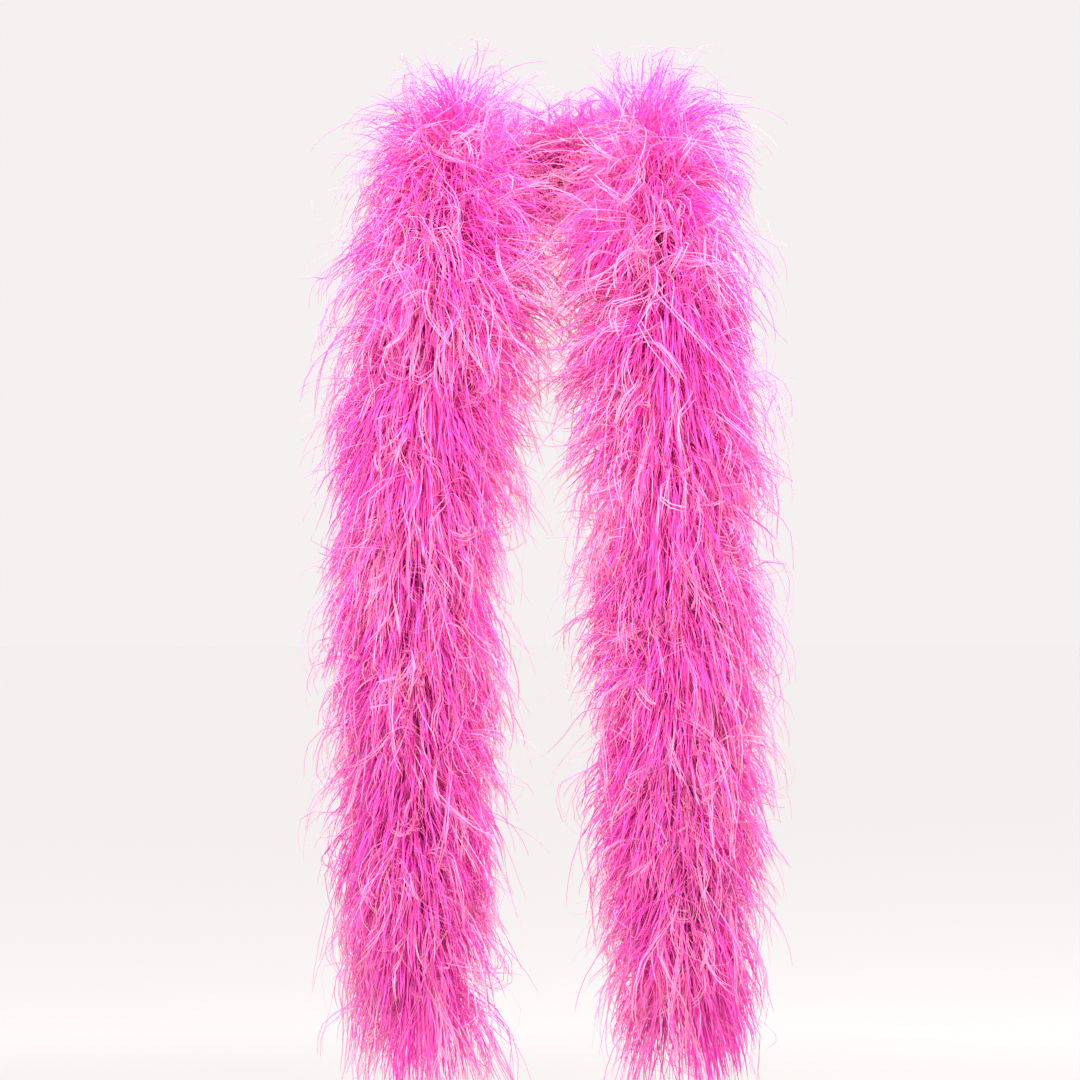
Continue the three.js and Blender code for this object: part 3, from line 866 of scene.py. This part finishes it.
def node(tree, kind, settings=(), **links):
    """Adds a node. Settings are its own properties; links are values or output sockets for its inputs."""
    made = tree.nodes.new(kind)
    for name, value in dict(settings).items():
        setattr(made, name, value)
    for name, value in links.items():
        key = int(name[1:]) if name[1:].isdigit() else name.replace("_", " ")
        if isinstance(value, bpy.types.NodeSocket):
            tree.links.new(value, made.inputs[key])
        else:
            made.inputs[key].default_value = value
    return made


def new_material(name):
    """An empty material and its node tree."""
    made = bpy.data.materials.new(name)
    made.use_nodes = True
    made.node_tree.nodes.clear()
    return made, made.node_tree


def ramp(tree, stops, factor):
    """The colour output of a colour ramp with these stops, read at a factor."""
    made = node(tree, "ShaderNodeValToRGB", Fac=factor)
    elements = made.color_ramp.elements
    while len(elements) < len(stops):
        elements.new(0.5)
    for element, (place, colour) in zip(elements, stops):
        element.position = place
        element.color = linear(colour)
    return made.outputs["Color"]


# %% [markdown]
# Ostrich barbs are keratin, very pale before dyeing, so the dye shows bright. Each barb's colour is deeper
# towards the root and paler towards the tip: painted shade for the depth of the pile, where the roots lie,
# and painted light for its lit outside. The barbs that took less dye are paler all along, and the down deep
# in the pile has the deeper shades while the wisps and strays at the outside have the paler ones: partly
# the dye's own spread and partly painted shade and highlight. Their fuzz of fine barbules gives a faint
# sheen.
# They are so thin that more than half of the light goes through them, so a translucent shader is mixed in,
# and light that has passed through several barbs gives the pile its glow.

# %% Dyed ostrich barb, with painted shade and highlight
# Shades across the map: deeper for the down deep in the pile, paler for wisps and strays outside; partly
# dye, partly painted shade and highlight.
DYE_AND_PAINTED_LIGHT_BY_BARB = [(0, "#FF52E4"), (0.3, "#FF5CE6"), (0.5, "#FF68E6"), (0.74, "#FFA0DA"), (1, "#FFE4EC")]
# Along each barb: deeper at the root, painted shade for the depth of the pile, and paler at the tip,
# painted light on its outside.
DYE_AND_PAINTED_SHADE_BY_HEIGHT = [(0, "#FF50D2"), (0.35, "#FF64E6"), (0.75, "#FF92D6"), (1, "#FFBED8")]
feather, tree = new_material("dyed_ostrich_barb_painted_light")
place = node(tree, "ShaderNodeUVMap", {"uv_map": "OFBake"})
parts = node(tree, "ShaderNodeSeparateXYZ", Vector=place.outputs[0])
by_barb_and_painted_light = ramp(tree, DYE_AND_PAINTED_LIGHT_BY_BARB, parts.outputs[0])
by_height_and_painted_shade = ramp(tree, DYE_AND_PAINTED_SHADE_BY_HEIGHT, parts.outputs[1])
mixed = node(tree, "ShaderNodeMix", {"data_type": "RGBA", "blend_type": "MIX"},
             Factor=0.35, i6=by_barb_and_painted_light, i7=by_height_and_painted_shade)
shader = node(tree, "ShaderNodeBsdfPrincipled", Base_Color=mixed.outputs[2], Roughness=0.45,
              Sheen_Weight=0.15, Sheen_Roughness=0.4, Sheen_Tint=linear("#FFD8E8"))
through = node(tree, "ShaderNodeBsdfTranslucent", Color=mixed.outputs[2])
both = node(tree, "ShaderNodeMixShader", Fac=0.58, i1=shader.outputs[0], i2=through.outputs[0])
node(tree, "ShaderNodeOutputMaterial", Surface=both.outputs[0])

# %% [markdown]
# The split quill is the hard part of the feather. It takes the dye less evenly than the barbs do, in lines
# along its fibres, and has a faint polish.

# %% Dyed quill
quill, tree = new_material("dyed_feather_quill")
place = node(tree, "ShaderNodeUVMap", {"uv_map": "OFBake"})
fibre = node(tree, "ShaderNodeTexWave", {"bands_direction": "X"}, Vector=place.outputs[0],
             Scale=6.0, Distortion=1.5)
tone = ramp(tree, [(0, "#E86BB4"), (1, "#F7A8D6")], fibre.outputs["Fac"])
shader = node(tree, "ShaderNodeBsdfPrincipled", Base_Color=tone, Roughness=0.4)
node(tree, "ShaderNodeOutputMaterial", Surface=shader.outputs[0])

# %% [markdown]
# The cord is spun cotton, matt, with a fine fuzz of hairs that take the dye unevenly. The thread is
# polyester, smoother than cotton and so a little shinier, with its twist showing as slanting lines.

# %% Dyed cotton cord
cotton, tree = new_material("dyed_cotton_cord")
place = node(tree, "ShaderNodeTexCoord")
hairs = node(tree, "ShaderNodeTexNoise", Vector=place.outputs["Object"], Scale=900.0, Detail=2.0)
tone = ramp(tree, [(0.3, "#B92A7C"), (0.7, "#E8489F")], hairs.outputs["Fac"])
shader = node(tree, "ShaderNodeBsdfPrincipled", Base_Color=tone, Roughness=0.85, Sheen_Weight=0.2)
node(tree, "ShaderNodeOutputMaterial", Surface=shader.outputs[0])

# %% Polyester thread
thread, tree = new_material("polyester_thread")
place = node(tree, "ShaderNodeTexCoord")
twist = node(tree, "ShaderNodeTexWave", {"bands_direction": "DIAGONAL"}, Vector=place.outputs["Object"],
             Scale=700.0, Distortion=0.5)
tone = ramp(tree, [(0, "#D0338C"), (1, "#F258B0")], twist.outputs["Fac"])
shader = node(tree, "ShaderNodeBsdfPrincipled", Base_Color=tone, Roughness=0.45)
node(tree, "ShaderNodeOutputMaterial", Surface=shader.outputs[0])

# %% Give the pieces their materials
for piece in ply_pieces:
    piece.data.materials.append(feather)
    piece.data.materials.append(quill)
for piece in cord_pieces.values():
    piece.data.materials.append(cotton)
for whip, tied in end_pieces.values():
    whip.data.materials.append(thread)
    tied.data.materials.append(cotton)

# %% [markdown]
# ## Floor and light
# A plain pale studio: a pale floor well below the hanging ends, an even pale surround, and broad soft lamps
# that leave no hard shadow. Each lamp has a grid over it, which keeps its light on the boa and off the
# floor. The floor is painted darker near the boa, a soft painted shadow under it, and grows paler with
# distance until it meets the surround.

# %% Floor
FLOOR_Z = -1.35
FLOOR_SIZE = 60
NEAR_FLOOR, FAR_FLOOR = 0.8, 3.5  # between these distances the floor grows paler, from a painted shadow under the boa to the surround
floor_material, tree = new_material("pale_floor")
place = node(tree, "ShaderNodeTexCoord")
distance = node(tree, "ShaderNodeVectorMath", {"operation": "LENGTH"}, i0=place.outputs["Object"])
farness = node(tree, "ShaderNodeMapRange", Value=distance.outputs["Value"],
               From_Min=NEAR_FLOOR, From_Max=FAR_FLOOR)
# Darker near the boa: a painted soft shadow under it, which also sends less light back up to its ends.
tone = ramp(tree, [(0, "#BEBAB8"), (1, "#FEFDFD")], farness.outputs["Result"])
shader = node(tree, "ShaderNodeBsdfPrincipled", Base_Color=tone, Roughness=0.9)
node(tree, "ShaderNodeOutputMaterial", Surface=shader.outputs[0])
deselect_all()
bpy.ops.mesh.primitive_plane_add(size=FLOOR_SIZE, location=(0, 0, FLOOR_Z))
floor = bpy.context.object
floor.name = "floor"
floor.data.materials.append(floor_material)

# %% Lights
world = bpy.data.worlds.new("studio")
bpy.context.scene.world = world
world.use_nodes = True
background = world.node_tree.nodes["Background"]
background.inputs["Color"].default_value = linear("#F4F1F0")
background.inputs["Strength"].default_value = 1.0
LAMP_SPREAD = math.radians(60)  # the grids let light out only this wide
LAMP_TARGET = Vector((0, -0.1, -0.2))


def lamp(name, location, size, power):
    """A square soft lamp aimed at the boa. Size in metres, power in watts."""
    data = bpy.data.lights.new(name, "AREA")
    data.size = size
    data.energy = power
    data.spread = LAMP_SPREAD
    made = bpy.data.objects.new(name, data)
    made.location = location
    made.rotation_euler = (LAMP_TARGET - Vector(location)).to_track_quat("-Z", "Y").to_euler()
    bpy.context.scene.collection.objects.link(made)


lamp("key", (-1.4, -2.0, 1.1), 1.3, 18.0)
lamp("fill", (1.7, -1.8, 0.6), 1.5, 12.0)
lamp("front", (0.2, -3.2, 0.8), 1.6, 9.5)
lamp("top", (0.0, 0.2, 1.6), 1.2, 2.0)
lamp("back", (0.8, 1.9, 0.9), 1.4, 13.0)

scene = bpy.context.scene
scene.view_settings.view_transform = "Standard"
scene.cycles.max_bounces = 24  # light has to find its way deep into the pile
scene.cycles.diffuse_bounces = 16
scene.cycles.transmission_bounces = 24

# %% Update the scene
bpy.context.view_layer.update()
